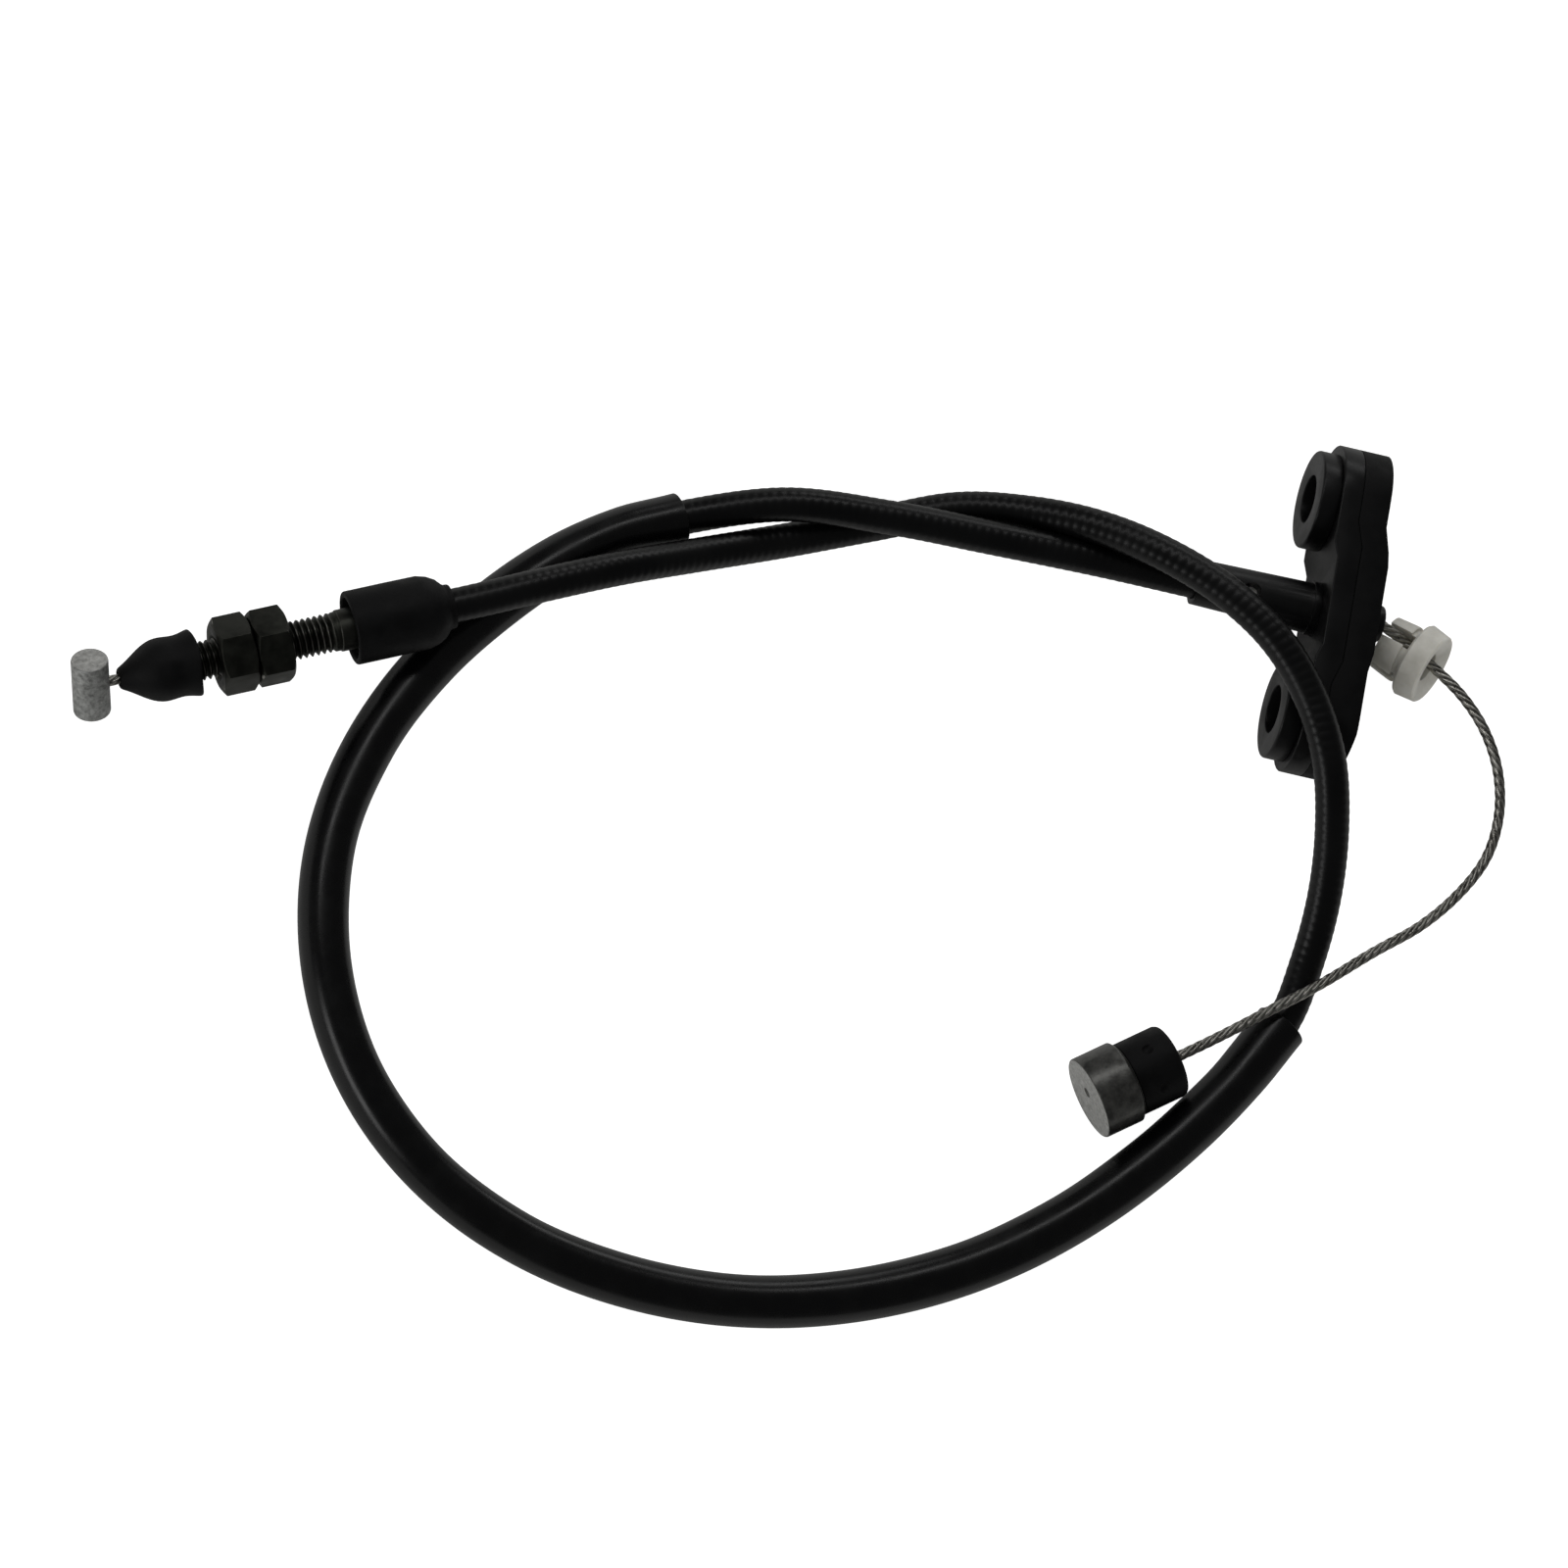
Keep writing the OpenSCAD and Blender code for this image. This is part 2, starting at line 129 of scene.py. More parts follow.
def mouldedPolyamide():
    # Glass-filled polyamide from a spark-eroded mould: fine grain, soft sheen
    material, tree, shader, place = newMaterial("mouldedBlackPolyamide", IOR=1.53)
    shader.inputs["Specular IOR Level"].default_value = 0.3
    cloud, grain = spots(tree, place, 9), spots(tree, place, 0.35, 2)
    finish(tree, shader, Base_Color=twoColours(tree, cloud, "#070708", "#0c0c0d"),
           Roughness=spread(tree, cloud, 0.3, 0.42), Normal=relief(tree, grain, 0.02, 0.4))
    return material


def mouldedRubber():
    # Nitrile rubber: dull black with a faint dusty bloom and shallow mould marks
    material, tree, shader, place = newMaterial("mouldedNitrileRubber", IOR=1.52)
    shader.inputs["Specular IOR Level"].default_value = 0.2
    bloom, skin = spots(tree, place, 3.5, 5), spots(tree, place, 0.7, 3)
    finish(tree, shader, Base_Color=twoColours(tree, bloom, "#050506", "#0b0b0c", 0.4, 0.75),
           Roughness=spread(tree, bloom, 0.5, 0.68), Normal=relief(tree, skin, 0.04, 0.55))
    return material


def extrudedJacket():
    # Polypropylene drawn over the coil: satin, a little polished on the ribs' crests
    material, tree, shader, place = newMaterial("extrudedBlackPolypropylene", IOR=1.49)
    shader.inputs["Specular IOR Level"].default_value = 0.32
    cloud, skin = spots(tree, place, 14, 4), spots(tree, place, 0.5, 2)
    finish(tree, shader, Base_Color=twoColours(tree, cloud, "#040405", "#080809"),
           Roughness=spread(tree, cloud, 0.3, 0.38), Normal=relief(tree, skin, 0.012, 0.5))
    return material


def vinylSleeve():
    # Vinyl tube: smooth skin with long draw lines and light scuffs
    material, tree, shader, place = newMaterial("extrudedBlackVinyl", IOR=1.53)
    shader.inputs["Specular IOR Level"].default_value = 0.36
    along = addNode(tree, "ShaderNodeUVMap", {"uv_map": "lay"}).outputs["UV"]
    drawn = addNode(tree, "ShaderNodeMapping", {"Scale": (0.06, 1, 1)}, {"Vector": along})
    lines, scuffs = spots(tree, drawn.outputs["Vector"], 0.6, 3), spots(tree, place, 6, 6, 0.65)
    finish(tree, shader, Base_Color=twoColours(tree, scuffs, "#040405", "#080809", 0.45, 0.8),
           Roughness=spread(tree, scuffs, 0.22, 0.32), Normal=relief(tree, lines, 0.02, 0.5))
    return material


def phosphatedSteel():
    # Manganese phosphate and oil: near black, crystalline, with a painted highlight on sharp edges
    material, tree, shader, place = newMaterial("phosphatedSteel", Metallic=1.0)
    crystals, cloud = spots(tree, place, 0.35, 3), spots(tree, place, 2.5, 5)
    # Painted highlight: sharp edges found by pointiness are mixed towards a pale grey
    sharpness = addNode(tree, "ShaderNodeNewGeometry").outputs["Pointiness"]
    edgeHighlightMask = addNode(tree, "ShaderNodeMapRange", {"From Min": 0.53, "From Max": 0.6, "To Max": 0.9},
                     {"Value": sharpness}).outputs["Result"]
    base = twoColours(tree, cloud, "#343531", "#41423d")
    edge = addNode(tree, "ShaderNodeMix", {"data_type": "RGBA"}, {0: edgeHighlightMask, 6: base})
    edge.inputs[7].default_value = srgb("#b5b4ae")
    finish(tree, shader, Base_Color=edge.outputs[2], Roughness=spread(tree, cloud, 0.34, 0.52),
           Normal=relief(tree, crystals, 0.02, 0.5))
    return material


def zincPlatedSteel():
    # Tumbled zinc plate: pale, mottled, matt
    material, tree, shader, place = newMaterial("tumbledZincPlate", Metallic=0.85)
    patches, pits = spots(tree, place, 1.1, 5, 0.65), spots(tree, place, 0.4, 4)
    finish(tree, shader, Base_Color=twoColours(tree, patches, "#858684", "#c4c5c3"),
           Roughness=spread(tree, patches, 0.42, 0.62), Normal=relief(tree, pits, 0.06, 0.6))
    return material


def shearedZincPaintedLight():
    # Sheared end of a zinc casting: torn across in fine lines, and made pale partly as painted light, the
    # lit end faces brighter than the sides
    material, tree, shader, place = newMaterial("shearedZincPaintedLight", Metallic=0.35)
    patches, torn = spots(tree, place, 0.9, 5, 0.65), spots(tree, place, 0.3, 5, 0.7)
    finish(tree, shader, Base_Color=twoColours(tree, patches, "#8b8b88", "#bdbdba"),
           Roughness=spread(tree, patches, 0.4, 0.6), Normal=relief(tree, torn, 0.1, 0.7))
    return material


def castZinc():
    # Die-cast zinc gone grey: dull skin, with brighter rubbed patches
    material, tree, shader, place = newMaterial("dieCastZinc", Metallic=0.9)
    patches, pits = spots(tree, place, 2.2, 6, 0.65), spots(tree, place, 0.5, 4)
    finish(tree, shader, Base_Color=twoColours(tree, patches, "#535351", "#747471"),
           Roughness=spread(tree, patches, 0.28, 0.42), Normal=relief(tree, pits, 0.04, 0.6))
    return material


def drawnSteel():
    # Drawn wire: bright, with fine lines along each wire, patchy oil, and painted shade darkening the
    # grooves between the strands
    material, tree, shader, place = newMaterial("drawnSteelWire", Metallic=1.0)
    along = addNode(tree, "ShaderNodeUVMap", {"uv_map": "lay"}).outputs["UV"]
    strands = addNode(tree, "ShaderNodeTexWave", {"Scale": 95.0, "Distortion": 0.3,
                      "bands_direction": "DIAGONAL"}, {"Vector": along}).outputs["Fac"]
    oil = spots(tree, place, 2.0, 4)
    # Painted shade: low pointiness in the grooves between strands mixes in a dark brown-grey
    grooveShadeMask = addNode(tree, "ShaderNodeMapRange", {"From Min": 0.4, "From Max": 0.54}, {
        "Value": addNode(tree, "ShaderNodeNewGeometry").outputs["Pointiness"]}).outputs["Result"]
    base = addNode(tree, "ShaderNodeMix", {"data_type": "RGBA"}, {
        0: grooveShadeMask, 7: twoColours(tree, oil, "#9d9b94", "#d0cec7")})
    base.inputs[6].default_value = srgb("#3a3833")
    finish(tree, shader, Base_Color=base.outputs[2],
           Roughness=spread(tree, oil, 0.22, 0.4), Normal=relief(tree, strands, 0.05, 0.6))
    return material


def naturalNylon():
    # Undyed nylon: milky, lets a little light through, waxy shine
    material, tree, shader, place = newMaterial(
        "naturalNylon", IOR=1.53, Subsurface_Weight=0.35, Subsurface_Scale=0.0015)
    shader.inputs["Subsurface Radius"].default_value = (1.0, 0.9, 0.75)
    cloud, skin = spots(tree, place, 5, 3), spots(tree, place, 0.6, 2)
    finish(tree, shader, Base_Color=twoColours(tree, cloud, "#c3c1b8", "#d9d7cf"),
           Roughness=spread(tree, cloud, 0.3, 0.42), Normal=relief(tree, skin, 0.015, 0.5))
    return material


def linerPolymer():
    # Extruded liner: white, slippery, faintly waxy
    material, tree, shader, place = newMaterial("whiteLinerPolymer", IOR=1.5)
    cloud, skin = spots(tree, place, 4, 3), spots(tree, place, 0.4, 2)
    finish(tree, shader, Base_Color=twoColours(tree, cloud, "#e8e7e1", "#f7f6f2"),
           Roughness=spread(tree, cloud, 0.3, 0.4), Normal=relief(tree, skin, 0.01, 0.5))
    return material


polyamide, rubber, jacket, vinyl = mouldedPolyamide(), mouldedRubber(), extrudedJacket(), vinylSleeve()
phosphate, zincPlate, zincCast, steel = phosphatedSteel(), zincPlatedSteel(), castZinc(), drawnSteel()
paleEndZincPaintedLight = shearedZincPaintedLight()
nylon, linerWhite = naturalNylon(), linerPolymer()
print("materials made")


# Tools for the pieces
def pick(piece):
    bpy.ops.object.select_all(action="DESELECT")
    piece.select_set(True)
    bpy.context.view_layer.objects.active = piece


def applyModifiers(piece):
    pick(piece)
    for modifier in list(piece.modifiers):
        bpy.ops.object.modifier_apply(modifier=modifier.name)


def editAll(piece, *steps):
    pick(piece)
    bpy.ops.object.mode_set(mode="EDIT")
    bpy.ops.mesh.select_all(action="SELECT")
    for step in steps:
        step()
    bpy.ops.object.mode_set(mode="OBJECT")


def mergeDoubles():
    bpy.ops.mesh.remove_doubles(threshold=2e-6)


def pointOutwards():
    bpy.ops.mesh.normals_make_consistent(inside=False)


def roundEdges(piece, widthMm, segments=2, angle=32):
    bevel = piece.modifiers.new("edges", "BEVEL")
    bevel.width = widthMm * mm
    bevel.segments = segments
    bevel.limit_method = "ANGLE"
    bevel.angle_limit = math.radians(angle)
    bevel.harden_normals = False
    applyModifiers(piece)


def shade(piece, angle=35):
    pick(piece)
    bpy.ops.object.shade_smooth_by_angle(angle=math.radians(angle))


def standFor(piece, material, slot, body, *nodes):
    piece.data.materials.clear()
    piece.data.materials.append(material)
    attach(piece, body)
    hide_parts(*nodes)
    return piece


def faceEnds(piece, material, axis):
    # A second material on the flat faces square to an axis
    piece.data.materials.append(material)
    for face in piece.data.polygons:
        if abs(face.normal.dot(axis)) > 0.95:
            face.material_index = 1


def direction(axis):
    axis = Vector(axis).normalized()
    heading, tilt = math.atan2(axis.y, axis.x), math.acos(axis.z)
    return Matrix.Rotation(heading, 4, "Z") @ Matrix.Rotation(tilt, 4, "Y")


def lay(piece, origin, axis):
    piece.data.transform(Matrix.Translation(Vector(origin)) @ direction(axis))


def turned(name, profile, steps=72):
    # A closed profile of (along, radius) in mm, turned about Z with the Screw modifier
    mesh = bpy.data.meshes.new(name)
    points = [(radius * mm, 0, along * mm) for along, radius in profile]
    closing = [] if profile[0][1] == 0 else [(len(points) - 1, 0)]
    mesh.from_pydata(points, [(i, i + 1) for i in range(len(points) - 1)] + closing, [])
    piece = bpy.data.objects.new(name, mesh)
    bpy.context.collection.objects.link(piece)
    screw = piece.modifiers.new("turn", "SCREW")
    screw.steps = screw.render_steps = steps
    screw.use_merge_vertices = True
    screw.merge_threshold = 1e-6
    applyModifiers(piece)
    editAll(piece, mergeDoubles, pointOutwards)
    return piece


def fromCad(node, widthMm, segments=2, angle=32):
    # A copy of the node's mesh, merged and with its edges rounded
    piece = bpy.data.objects.new(node.replace("_", "-"), frame["nodes"][node].data.copy())
    bpy.context.collection.objects.link(piece)
    pick(piece)
    bpy.ops.mesh.customdata_custom_splitnormals_clear()
    editAll(piece, mergeDoubles, lambda: bpy.ops.mesh.dissolve_limited(angle_limit=math.radians(1)))
    roundEdges(piece, widthMm, segments, angle)
    shade(piece)
    return piece


def dent(piece, place, axis, radiusMm, depthMm):
    # A shallow round hollow, its middle depthMm below the surface at the place
    centre = Vector(place) + Vector(axis).normalized() * (radiusMm - depthMm) * mm
    bpy.ops.mesh.primitive_uv_sphere_add(segments=32, ring_count=16, radius=radiusMm * mm, location=centre)
    ball = bpy.context.object
    cut = piece.modifiers.new("dent", "BOOLEAN")
    cut.object = ball
    cut.solver = "EXACT"
    applyModifiers(piece)
    bpy.data.objects.remove(ball)
    shade(piece)


def smoothPath(points):
    # Catmull-Rom through the route's points, about a millimetre apart
    route = [Vector(p) for p in points]
    route = [2 * route[0] - route[1], *route, 2 * route[-1] - route[-2]]
    path = []
    for a, b, c, d in zip(route, route[1:], route[2:], route[3:]):
        count = max(2, round((c - b).length / (1.0 * mm)))
        for i in range(count):
            t = i / count
            path.append(0.5 * (2 * b + (c - a) * t + (2 * a - 5 * b + 4 * c - d) * t * t
                               + (3 * b - 3 * c + d - a) * t ** 3))
    return path + [route[-2]]


def pathLength(path):
    return sum((b - a).length for a, b in zip(path, path[1:]))


def sweep(name, path, distances, ringAt, sides, bore=None):
    # Rings along a path; ringAt gives a point's side and up offsets, bore an inner wall's radius
    places, run, i = [], 0.0, 0
    for distance in distances:
        while i < len(path) - 2 and run + (path[i + 1] - path[i]).length < distance:
            run += (path[i + 1] - path[i]).length
            i += 1
        step = path[i + 1] - path[i]
        places.append((path[i] + step * min(1.0, (distance - run) / step.length), i))
    side = None
    rings, innerRings, uvs = [], [], []
    for (centre, i), distance in zip(places, distances):
        ahead = (path[min(i + 2, len(path) - 1)] - path[max(i - 1, 0)]).normalized()
        if side is None:
            side = ahead.cross(Vector((0, 0, 1)))
        side = (side - ahead * side.dot(ahead)).normalized()
        top = side.cross(ahead)
        for k in range(sides):
            angle = fullTurn * k / sides
            across, up = ringAt(distance, angle)
            rings.append(centre + side * across + top * up)
            if bore:
                innerRings.append(centre + (side * math.cos(angle) + top * math.sin(angle)) * bore)
    count, total = len(places), len(rings)
    faces = []
    for i in range(count - 1):
        for k in range(sides):
            a, b = i * sides + k, i * sides + (k + 1) % sides
            faces.append((a, a + sides, b + sides, b))
            near, far = distances[i], distances[i + 1]
            uvs.append([(near, k), (far, k), (far, k + 1), (near, k + 1)])
    if bore:
        for i in range(count - 1):
            for k in range(sides):
                a, b = total + i * sides + k, total + i * sides + (k + 1) % sides
                faces.append((a, b, b + sides, a + sides))
                uvs.append([(distances[i], k)] * 4)
        last = (count - 1) * sides
        for k in range(sides):
            m = (k + 1) % sides
            faces.append((k, m, total + m, total + k))
            faces.append((last + k, total + last + k, total + last + m, last + m))
            uvs += [[(0, k)] * 4, [(distances[-1], k)] * 4]
    else:
        faces += [tuple(range(sides)), tuple(total - 1 - k for k in range(sides))]
        uvs += [[(0, 0)] * sides, [(distances[-1], 0)] * sides]
    mesh = bpy.data.meshes.new(name)
    mesh.from_pydata(rings + innerRings, [], faces)
    layer = mesh.uv_layers.new(name="lay")
    width = abs(ringAt(0, 0)[0]) * fullTurn / sides
    flat = [value for corners in uvs for u, v in corners for value in (u, v * width)]
    layer.data.foreach_set("uv", flat)
    piece = bpy.data.objects.new(name, mesh)
    bpy.context.collection.objects.link(piece)
    shade(piece, 50)
    return piece


def spaced(start, end, step):
    count = max(1, math.ceil((end - start) / step))
    return [start + (end - start) * i / count for i in range(count + 1)]


def roundRing(radius):
    return lambda distance, angle: (radius * math.cos(angle), radius * math.sin(angle))


# Cords: the casing's route from the adjuster round the loop to the guide tube, in metres
adjusterAxis = Vector(mounts["adjuster_thread"]["axis"])
seat = Vector(mounts["adjuster_thread"]["pos_m"]) - adjusterAxis * 0.012
casingStart = [seat, seat - adjusterAxis * 0.022]
casingFree = [
    (-0.172, -0.0336, 0.0065), (-0.155, -0.0254, 0.0042), (-0.138, -0.0176, -0.0012),
    (-0.12, -0.0096, -0.006), (-0.102, -0.0017, -0.0074), (-0.086, 0.0049, -0.0062),
    (-0.072, 0.0066, -0.0022), (-0.059, 0.0055, 0.0038), (-0.046, 0.0019, 0.0092),
    (-0.033, -0.0038, 0.013), (-0.0215, -0.0116, 0.015), (-0.0126, -0.0217, 0.0152),
    (-0.0064, -0.0336, 0.0146), (-0.0022, -0.046, 0.0096), (0.0002, -0.0585, 0.0032),
    (0.0004, -0.0715, -0.003)]
casingSleeved = [
    (-0.002, -0.084, -0.0055), (-0.011, -0.1, -0.0055), (-0.024, -0.1175, -0.0055),
    (-0.04, -0.134, -0.0055), (-0.059, -0.148, -0.0055), (-0.081, -0.1585, -0.0055),
    (-0.104, -0.1645, -0.0055), (-0.128, -0.1655, -0.0055), (-0.151, -0.1615, -0.0055),
    (-0.172, -0.1515, -0.0055), (-0.1885, -0.1355, -0.0055), (-0.1985, -0.115, -0.0055),
    (-0.2015, -0.092, -0.0055), (-0.197, -0.07, -0.0055), (-0.187, -0.05, -0.0055),
    (-0.1725, -0.0316, -0.0055), (-0.1572, -0.018, -0.0055), (-0.142, -0.01, -0.0055)]
casingBulkhead = [
    (-0.122, -0.0033, -0.0016), (-0.101, -0.0015, 0.0002), (-0.079, -0.0007, 0), (-0.057, -0.0001, 0),
    (-0.0383, 0, 0), (-0.0258, 0, 0)]
wireRoute = [
    (0.001, 0, 0), (0.0033, 0, 0), (0.0094, -0.0022, -0.0013), (0.0161, -0.0059, -0.0014),
    (0.0226, -0.0105, -0.0006), (0.0281, -0.0166, 0.0002), (0.032, -0.0243, 0.0008),
    (0.0337, -0.033, 0.0009), (0.0326, -0.0421, 0.001), (0.0282, -0.0507, 0.0012),
    (0.0214, -0.0591, 0.0015), (0.0125, -0.0668, 0.0016), (0.0031, -0.0754, 0.0015),
    (-0.0065, -0.0832, 0.0012), (-0.0155, -0.0904, 0.0001), (-0.0242, -0.097, -0.0008)]
casing = {"radius": 3.5, "bore": 2.5, "sides": 28, "ribPitch": 1.85, "ribDepth": 0.06, "ringsPerRib": 6}
sleeve = {"radius": 5.5, "bore": 4.5, "sides": 48, "step": 2.0, "flatten": 0.13, "fullBend": 0.018}
wire = {"radius": 1.1, "strands": 6, "lay": 13.0, "sides": 48, "step": 0.4}
innerLayers = {"coil": 2.36, "coilBore": 1.8, "liner": 1.75, "linerBore": 1.3, "core": 0.95}


def ribbed(distance, angle):
    # Jacket shrunk over a round-wire coil: rounded ribs with narrow grooves between
    turns = distance / (casing["ribPitch"] * mm) - angle / fullTurn
    groove = (0.5 + 0.5 * math.cos(fullTurn * turns)) ** 1.6
    radius = (casing["radius"] - casing["ribDepth"] * groove) * mm
    return radius * math.cos(angle), radius * math.sin(angle)


def stranded(distance, angle):
    # Outer strands of a twisted wire rope, each a third of the rope's width
    strand = wire["radius"] * mm / 3
    middle = 2 * strand
    gap = fullTurn / wire["strands"]
    turn = (angle - fullTurn * distance / (wire["lay"] * mm)) % gap - gap / 2
    radius = middle * math.cos(turn) + math.sqrt(max(0.0, strand ** 2 - (middle * math.sin(turn)) ** 2))
    return radius * math.cos(angle), radius * math.sin(angle)


def makeCasing():
    casingPath = smoothPath(casingStart + casingFree + casingSleeved + casingBulkhead)
    total = pathLength(casingPath)
    freeEnd = pathLength(smoothPath(casingStart + casingFree + casingSleeved[:1]))
    sleeveEnd = total - pathLength(smoothPath(casingSleeved[-1:] + casingBulkhead))
    fine = casing["ribPitch"] * mm / casing["ringsPerRib"]
    distances = (spaced(0, freeEnd + 0.004, fine) + spaced(freeEnd + 0.006, sleeveEnd - 0.006, 0.003)
                 + spaced(sleeveEnd - 0.004, total, fine))
    piece = sweep("casing", casingPath, distances, ribbed, casing["sides"], casing["bore"] * mm)
    standFor(piece, jacket, "jacket", "root", "conduit_jacket")
    coil = sweep("casing-coil", casingPath, spaced(0, total, 0.002),
                 roundRing(innerLayers["coil"] * mm), 20, innerLayers["coilBore"] * mm)
    standFor(coil, steel, "coil_steel", "root", "conduit_coil")
    linerPath = casingPath + [Vector((-0.0061, 0, 0))]
    liner = sweep("casing-liner", linerPath, spaced(0, pathLength(linerPath), 0.002),
                  roundRing(innerLayers["liner"] * mm), 20, innerLayers["linerBore"] * mm)
    standFor(liner, linerWhite, "liner", "root", "conduit_liner")
    corePath = casingPath + [Vector((0.001, 0, 0))]
    core = sweep("casing-inner-wire", corePath, spaced(0, pathLength(corePath), 0.002),
                 roundRing(innerLayers["core"] * mm), 16)
    standFor(core, steel, "wire_steel", "root", "conduit_wire")
    return piece, [coil, liner, core], total, casingPath


def makeSleeve():
    path = smoothPath(casingSleeved)
    total = pathLength(path)

    def tightness(distance):
        i = min(len(path) - 12, max(11, round(distance / total * (len(path) - 1))))
        before, after = path[i] - path[i - 11], path[i + 11] - path[i]
        return before.angle(after) / ((before.length + after.length) / 2)

    def oval(distance, angle):
        # A bent tube flattens a little across the bend
        squeeze = sleeve["flatten"] * min(1.0, tightness(distance) * mm / sleeve["fullBend"])
        across = sleeve["radius"] * mm * (1.03 - squeeze)
        return across * math.cos(angle), sleeve["radius"] * mm * math.sin(angle)

    piece = sweep("protective-sleeve", path, spaced(0, total, sleeve["step"] * mm), oval,
                  sleeve["sides"], sleeve["bore"] * mm)
    roundEdges(piece, 0.15, 2, 50)
    shade(piece, 50)
    return standFor(piece, vinyl, "sleeve", "root", "protective_sleeve")


def makePedalWire():
    mount = mounts["pedal_nipple"]
    inside = Vector(wireRoute[-1]) + Vector(mount["axis"]) * 0.0152
    path = smoothPath(wireRoute + [tuple(inside)])
    total = pathLength(path)
    piece = sweep("pedal-wire", path, spaced(0, total, wire["step"] * mm), stranded, wire["sides"])
    standFor(piece, steel, "wire_steel", "root", "pedal_wire")
    return piece, total, path


casingPiece, casingLayers, casingLength, casingPath = makeCasing()
sleevePiece = makeSleeve()
pedalWire, pedalWireLength, pedalWirePath = makePedalWire()
print("cords made: casing", round(casingLength, 4), "m, bare wire", round(pedalWireLength, 4), "m")


# Engine end: lengths in mm from the casing's seat towards the engine end
adjuster = {"radius": 4.0, "pitch": 1.25, "collar": 4.25, "collarEnd": 6.5, "threadEnd": 44.0, "tail": -6.0,
            "bore": 1.3, "socket": 3.6, "sides": 48, "ringsPerPitch": 10}
boot = {"start": 36.0, "lip": 2.8, "lipWave": 0.22, "lipOval": 0.02}
cap = {"start": -17.4}
barrel = {"radius": 3.8, "length": 13.2, "wireHole": 1.15, "holeOut": 1.4}


def threadRadius(along, angle):
    pitch, depth = adjuster["pitch"], 0.6 * adjuster["pitch"]
    turns = (along / pitch + angle / fullTurn) % 1
    wave = min(1.0, max(0.0, (abs(turns - 0.5) * 2 - 0.1) / 0.78))
    fade = min(1.0, max(0.0, (along - adjuster["collarEnd"] - 0.6) / 1.6))
    nose = max(0.0, along - (adjuster["threadEnd"] - 0.8))
    return max(adjuster["radius"] - depth * wave * fade - 0.02, adjuster["radius"] - depth) - nose * 0.5


def makeAdjuster():
    start = adjuster["collarEnd"] - 0.2
    path = [seat + adjusterAxis * start * mm, seat + adjusterAxis * adjuster["threadEnd"] * mm]

    def ring(distance, angle):
        radius = threadRadius(start + distance / mm, angle) * mm
        return radius * math.cos(angle), radius * math.sin(angle)

    step = adjuster["pitch"] * mm / adjuster["ringsPerPitch"]
    thread = sweep("adjuster-thread", path, spaced(0, pathLength(path), step), ring, adjuster["sides"],
                   adjuster["bore"] * mm)
    shade(thread, 40)
    collar = turned("adjuster-collar", [
        (adjuster["tail"], adjuster["socket"]), (adjuster["tail"], adjuster["collar"]),
        (adjuster["collarEnd"], adjuster["collar"]), (adjuster["collarEnd"], adjuster["bore"]),
        (0, adjuster["bore"]), (0, adjuster["socket"])])
    roundEdges(collar, 0.25, 3)
    shade(collar)
    lay(collar, seat, adjusterAxis)
    standFor(thread, phosphate, "phosphate", "root", "adjuster_tube")
    return thread, standFor(collar, phosphate, "phosphate", "root", "adjuster_tube")


def makeNuts():
    for node in ("lock_nut_front", "lock_nut_rear"):
        standFor(fromCad(node, 0.14, 3, 28), phosphate, "phosphate", node, node)


def makeBoot():
    profile = [(0.15, 6.72), (0.0, 6.45), (0.2, 5.9), (1.5, 4.8), (2.4, 4.0), (7.9, 4.0), (10.8, 1.35),
               (16.0, 1.35), (16.1, 1.7), (15.9, 2.15), (15.1, 2.55), (13.6, 3.4), (11.6, 4.85), (9.8, 5.85),
               (8.2, 6.4), (6.6, 6.5), (5.0, 6.3), (3.6, 6.2), (2.2, 6.4), (0.9, 6.75), (0.4, 6.82)]
    piece = turned("dust-boot", profile, 96)
    smooth = piece.modifiers.new("smooth", "SUBSURF")
    smooth.levels = smooth.render_levels = 1
    applyModifiers(piece)
    for vertex in piece.data.vertices:
        # The mouth's thin lip is a little wavy
        lip = max(0.0, 1 - vertex.co.z / (boot["lip"] * mm))
        angle = math.atan2(vertex.co.y, vertex.co.x)
        vertex.co.z += lip * boot["lipWave"] * mm * math.sin(3 * angle + 0.8)
        vertex.co.xy *= 1 + lip * boot["lipOval"] * math.sin(2 * angle)
    shade(piece, 60)
    lay(piece, seat + adjusterAxis * boot["start"] * mm, adjusterAxis)
    return standFor(piece, rubber, "rubber_black", "root", "dust_boot")


def makeCap():
    profile = [(21.4, 7.2), (21.1, 7.5), (13, 7.5), (6.2, 7.45), (4.2, 6.9), (2.6, 6.0), (1.5, 4.8),
               (1.1, 4.55), (0.3, 4.5), (0.0, 4.3), (0.0, 3.8), (0.3, 3.6), (11.4, 3.6), (11.4, 4.25),
               (18.8, 4.25), (18.8, 5.8), (19.1, 6.1), (21.1, 6.2), (21.4, 6.4)]
    piece = turned("casing-cap", profile, 96)
    roundEdges(piece, 0.25, 3, 25)
    shade(piece, 45)
    lay(piece, seat + adjusterAxis * cap["start"] * mm, adjusterAxis)
    return standFor(piece, rubber, "rubber_black", "root", "casing_cap")


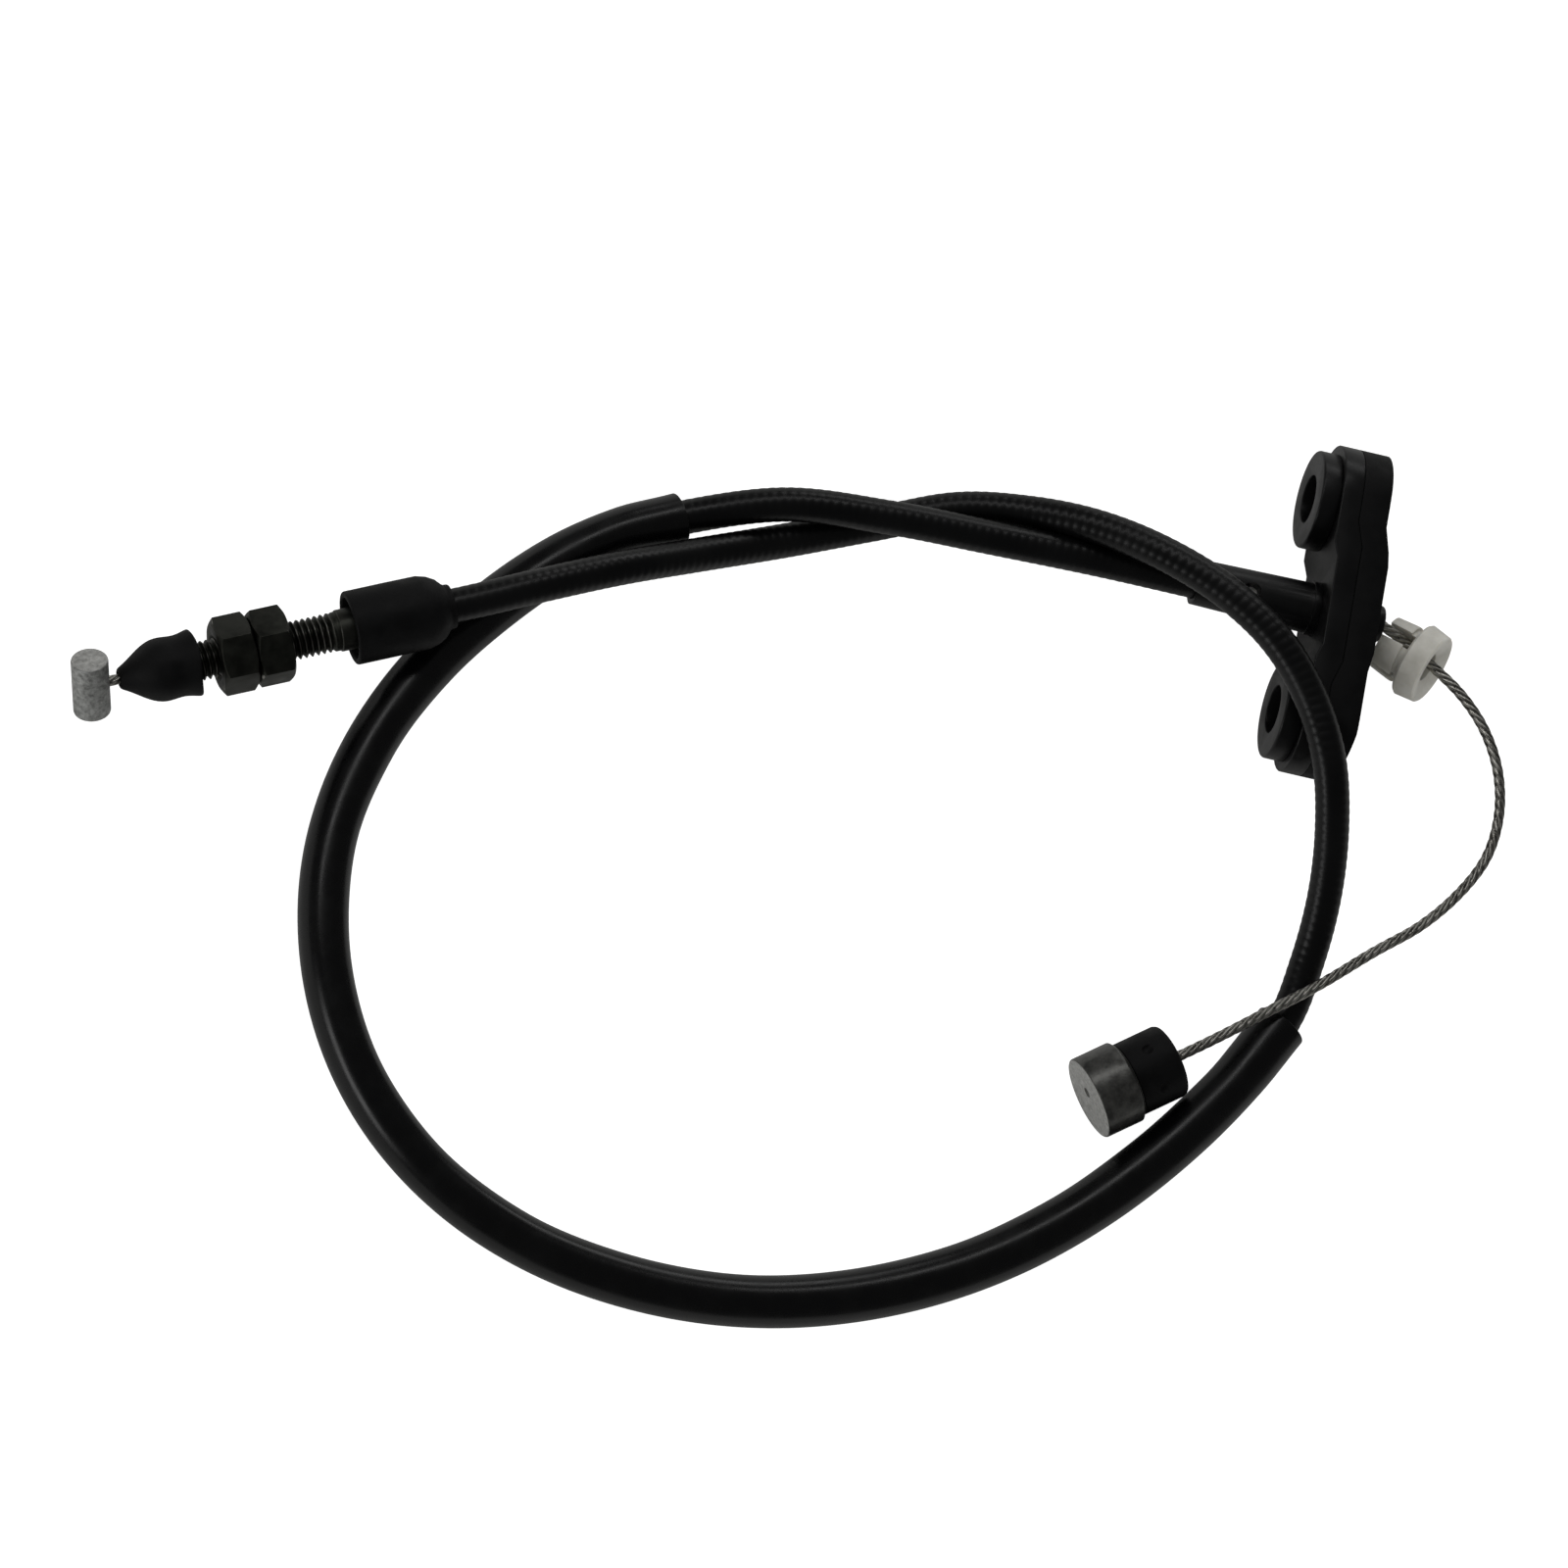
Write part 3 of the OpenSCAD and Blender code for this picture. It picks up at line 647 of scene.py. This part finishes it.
def makeBarrel():
    half, radius = barrel["length"] / 2, barrel["radius"]
    piece = turned("barrel-nipple", [(-half, 0), (-half, radius), (half, radius), (half, 0)], 64)
    roundEdges(piece, 0.45, 3)
    bpy.ops.mesh.primitive_cylinder_add(vertices=32, radius=barrel["wireHole"] * mm, depth=radius * mm,
                                        location=(0, 0, 0))
    hole = bpy.context.object
    outwards = Matrix.Translation((radius * mm * barrel["holeOut"], 0, 0))
    hole.data.transform(outwards @ Matrix.Rotation(math.pi / 2, 4, "Y"))
    cut = piece.modifiers.new("hole", "BOOLEAN")
    cut.object = hole
    cut.solver = "EXACT"
    applyModifiers(piece)
    bpy.data.objects.remove(hole)
    shade(piece)
    mount = mounts["throttle_nipple"]
    across = Vector(mount["axis"])
    inwards = -adjusterAxis
    third = across.cross(inwards)
    piece.data.transform(Matrix.Translation(Vector(mount["pos_m"]))
                         @ Matrix((inwards, third, across)).transposed().to_4x4())
    standFor(piece, zincPlate, "zinc_bright", "throttle_wire", "barrel_nipple")
    # The flat ends take the sheared zinc, whose paleness is partly painted light
    faceEnds(piece, paleEndZincPaintedLight, across)
    path = [seat + adjusterAxis * 0.01 * mm, Vector(mount["pos_m"])]
    stub = sweep("throttle-wire", path, spaced(0, pathLength(path), wire["step"] * mm), stranded,
                 wire["sides"])
    return standFor(stub, steel, "wire_steel", "throttle_wire", "throttle_wire")


makeAdjuster()
makeNuts()
makeBoot()
makeCap()
makeBarrel()
print("engine end made")


# Guide tube, flange and nozzle
def makeFlange():
    for node, width, material, slot in (
            ("guide_tube", 0.2, polyamide, "moulding"), ("flange_plate", 0.75, polyamide, "moulding"),
            ("mount_pad_upper", 0.3, polyamide, "moulding"), ("mount_pad_lower", 0.3, polyamide, "moulding"),
            ("flange_seal", 0.75, rubber, "rubber_black"), ("nozzle", 0.25, polyamide, "moulding")):
        standFor(fromCad(node, width, 3, 25), material, slot, "root", node)


makeFlange()
print("flange made")


# Pedal end
pedalEnd = {"endFace": 4.15, "sprue": (1.2, 0.8), "sprueBall": 1.6, "sprueDepth": 0.45,
            "damper": 7.7, "markBack": 9.5, "marks": (62, 128), "markBall": 1.5, "markDepth": 0.6}


def makePedalEnd():
    bush = standFor(fromCad("pedal_bush", 0.2, 3, 30), nylon, "nylon", "pedal_bush", "pedal_bush")
    damper = standFor(fromCad("rubber_damper", 0.3, 3, 30), rubber, "rubber_black", "root", "rubber_damper")
    nipple = standFor(fromCad("pedal_nipple", 0.25, 3, 30), zincCast, "zinc_dark", "root", "pedal_nipple")
    # Moulding marks: a sprue dimple in the nipple's end, two core marks in the damper's side
    mount = mounts["pedal_nipple"]
    along, middle = Vector(mount["axis"]), Vector(mount["pos_m"])
    side = along.cross(Vector((0, 0, 1))).normalized()
    top = side.cross(along)
    # The end face takes the paler sheared zinc, partly painted light for the lit end
    faceEnds(nipple, paleEndZincPaintedLight, along)
    sprue = along * pedalEnd["endFace"] + side * pedalEnd["sprue"][0] + top * pedalEnd["sprue"][1]
    dent(nipple, middle + sprue * mm, along, pedalEnd["sprueBall"], pedalEnd["sprueDepth"])
    for turn in pedalEnd["marks"]:
        outward = side * math.cos(math.radians(turn)) + top * math.sin(math.radians(turn))
        place = middle + (outward * pedalEnd["damper"] - along * pedalEnd["markBack"]) * mm
        dent(damper, place, outward, pedalEnd["markBall"], pedalEnd["markDepth"])
    return bush, damper, nipple


bushPiece, damperPiece, nipplePiece = makePedalEnd()
print("pedal end made")


# Floor and soft studio light: seen directly the floor is pale, in a gloss it is dim
studio = {"floor": -0.011, "floorSize": 8.0, "colour": "#f6f6f5", "aim": (-0.112, -0.059, -0.005)}
glow = {"floor": (0.93, 0.0, 0.15), "world": (0.95, 0.08, 0.5)}
softLights = [
    {"name": "strip", "place": (-0.72, 0.88, 1.65), "size": (2.4, 0.25), "power": 6},
    {"name": "side", "place": (-1.5, -1.0, 0.5), "size": (0.9, 0.5), "power": 4},
    {"name": "back", "place": (0.3, 1.7, 0.5), "size": (1.2, 0.4), "power": 3}]


def glowFor(tree, seen, glossy, other):
    # Light given to the camera, to glossy reflections and to everything else
    ray = addNode(tree, "ShaderNodeLightPath")
    direct = addNode(tree, "ShaderNodeMath", {"operation": "MULTIPLY_ADD", 1: seen - other, 2: other},
                     {0: ray.outputs["Is Camera Ray"]})
    gloss = addNode(tree, "ShaderNodeMath", {"operation": "MULTIPLY_ADD", 1: glossy - other},
                    {0: ray.outputs["Is Glossy Ray"], 2: direct.outputs[0]})
    return gloss.outputs[0]


def makeStudio():
    bpy.ops.mesh.primitive_plane_add(size=studio["floorSize"], location=(0, 0, 0))
    floor = bpy.context.object
    floor.name = "floor"
    floor.data.transform(Matrix.Translation((0, 0, studio["floor"])))
    material, tree, shader, place = newMaterial("paleFloor", Roughness=0.9)
    shader.inputs["Specular IOR Level"].default_value = 0.0
    shader.inputs["Base Color"].default_value = srgb("#d6d6d5")
    shader.inputs["Emission Color"].default_value = srgb("#ffffff")
    finish(tree, shader, Emission_Strength=glowFor(tree, *glow["floor"]))
    floor.data.materials.append(material)
    for light in softLights:
        bpy.ops.object.light_add(type="AREA", location=light["place"])
        lamp = bpy.context.object
        lamp.name = light["name"]
        lamp.data.shape = "RECTANGLE"
        lamp.data.size, lamp.data.size_y = light["size"]
        lamp.data.energy = light["power"]
        aim = Vector(studio["aim"]) - lamp.location
        lamp.rotation_euler = aim.to_track_quat("-Z", "Y").to_euler()
    world = bpy.data.worlds.new("softSurround")
    bpy.context.scene.world = world
    world.use_nodes = True
    background = world.node_tree.nodes["Background"]
    background.inputs["Color"].default_value = srgb(studio["colour"])
    world.node_tree.links.new(glowFor(world.node_tree, *glow["world"]), background.inputs["Strength"])
    bpy.context.scene.view_settings.view_transform = "Standard"


makeStudio()
print("studio made")
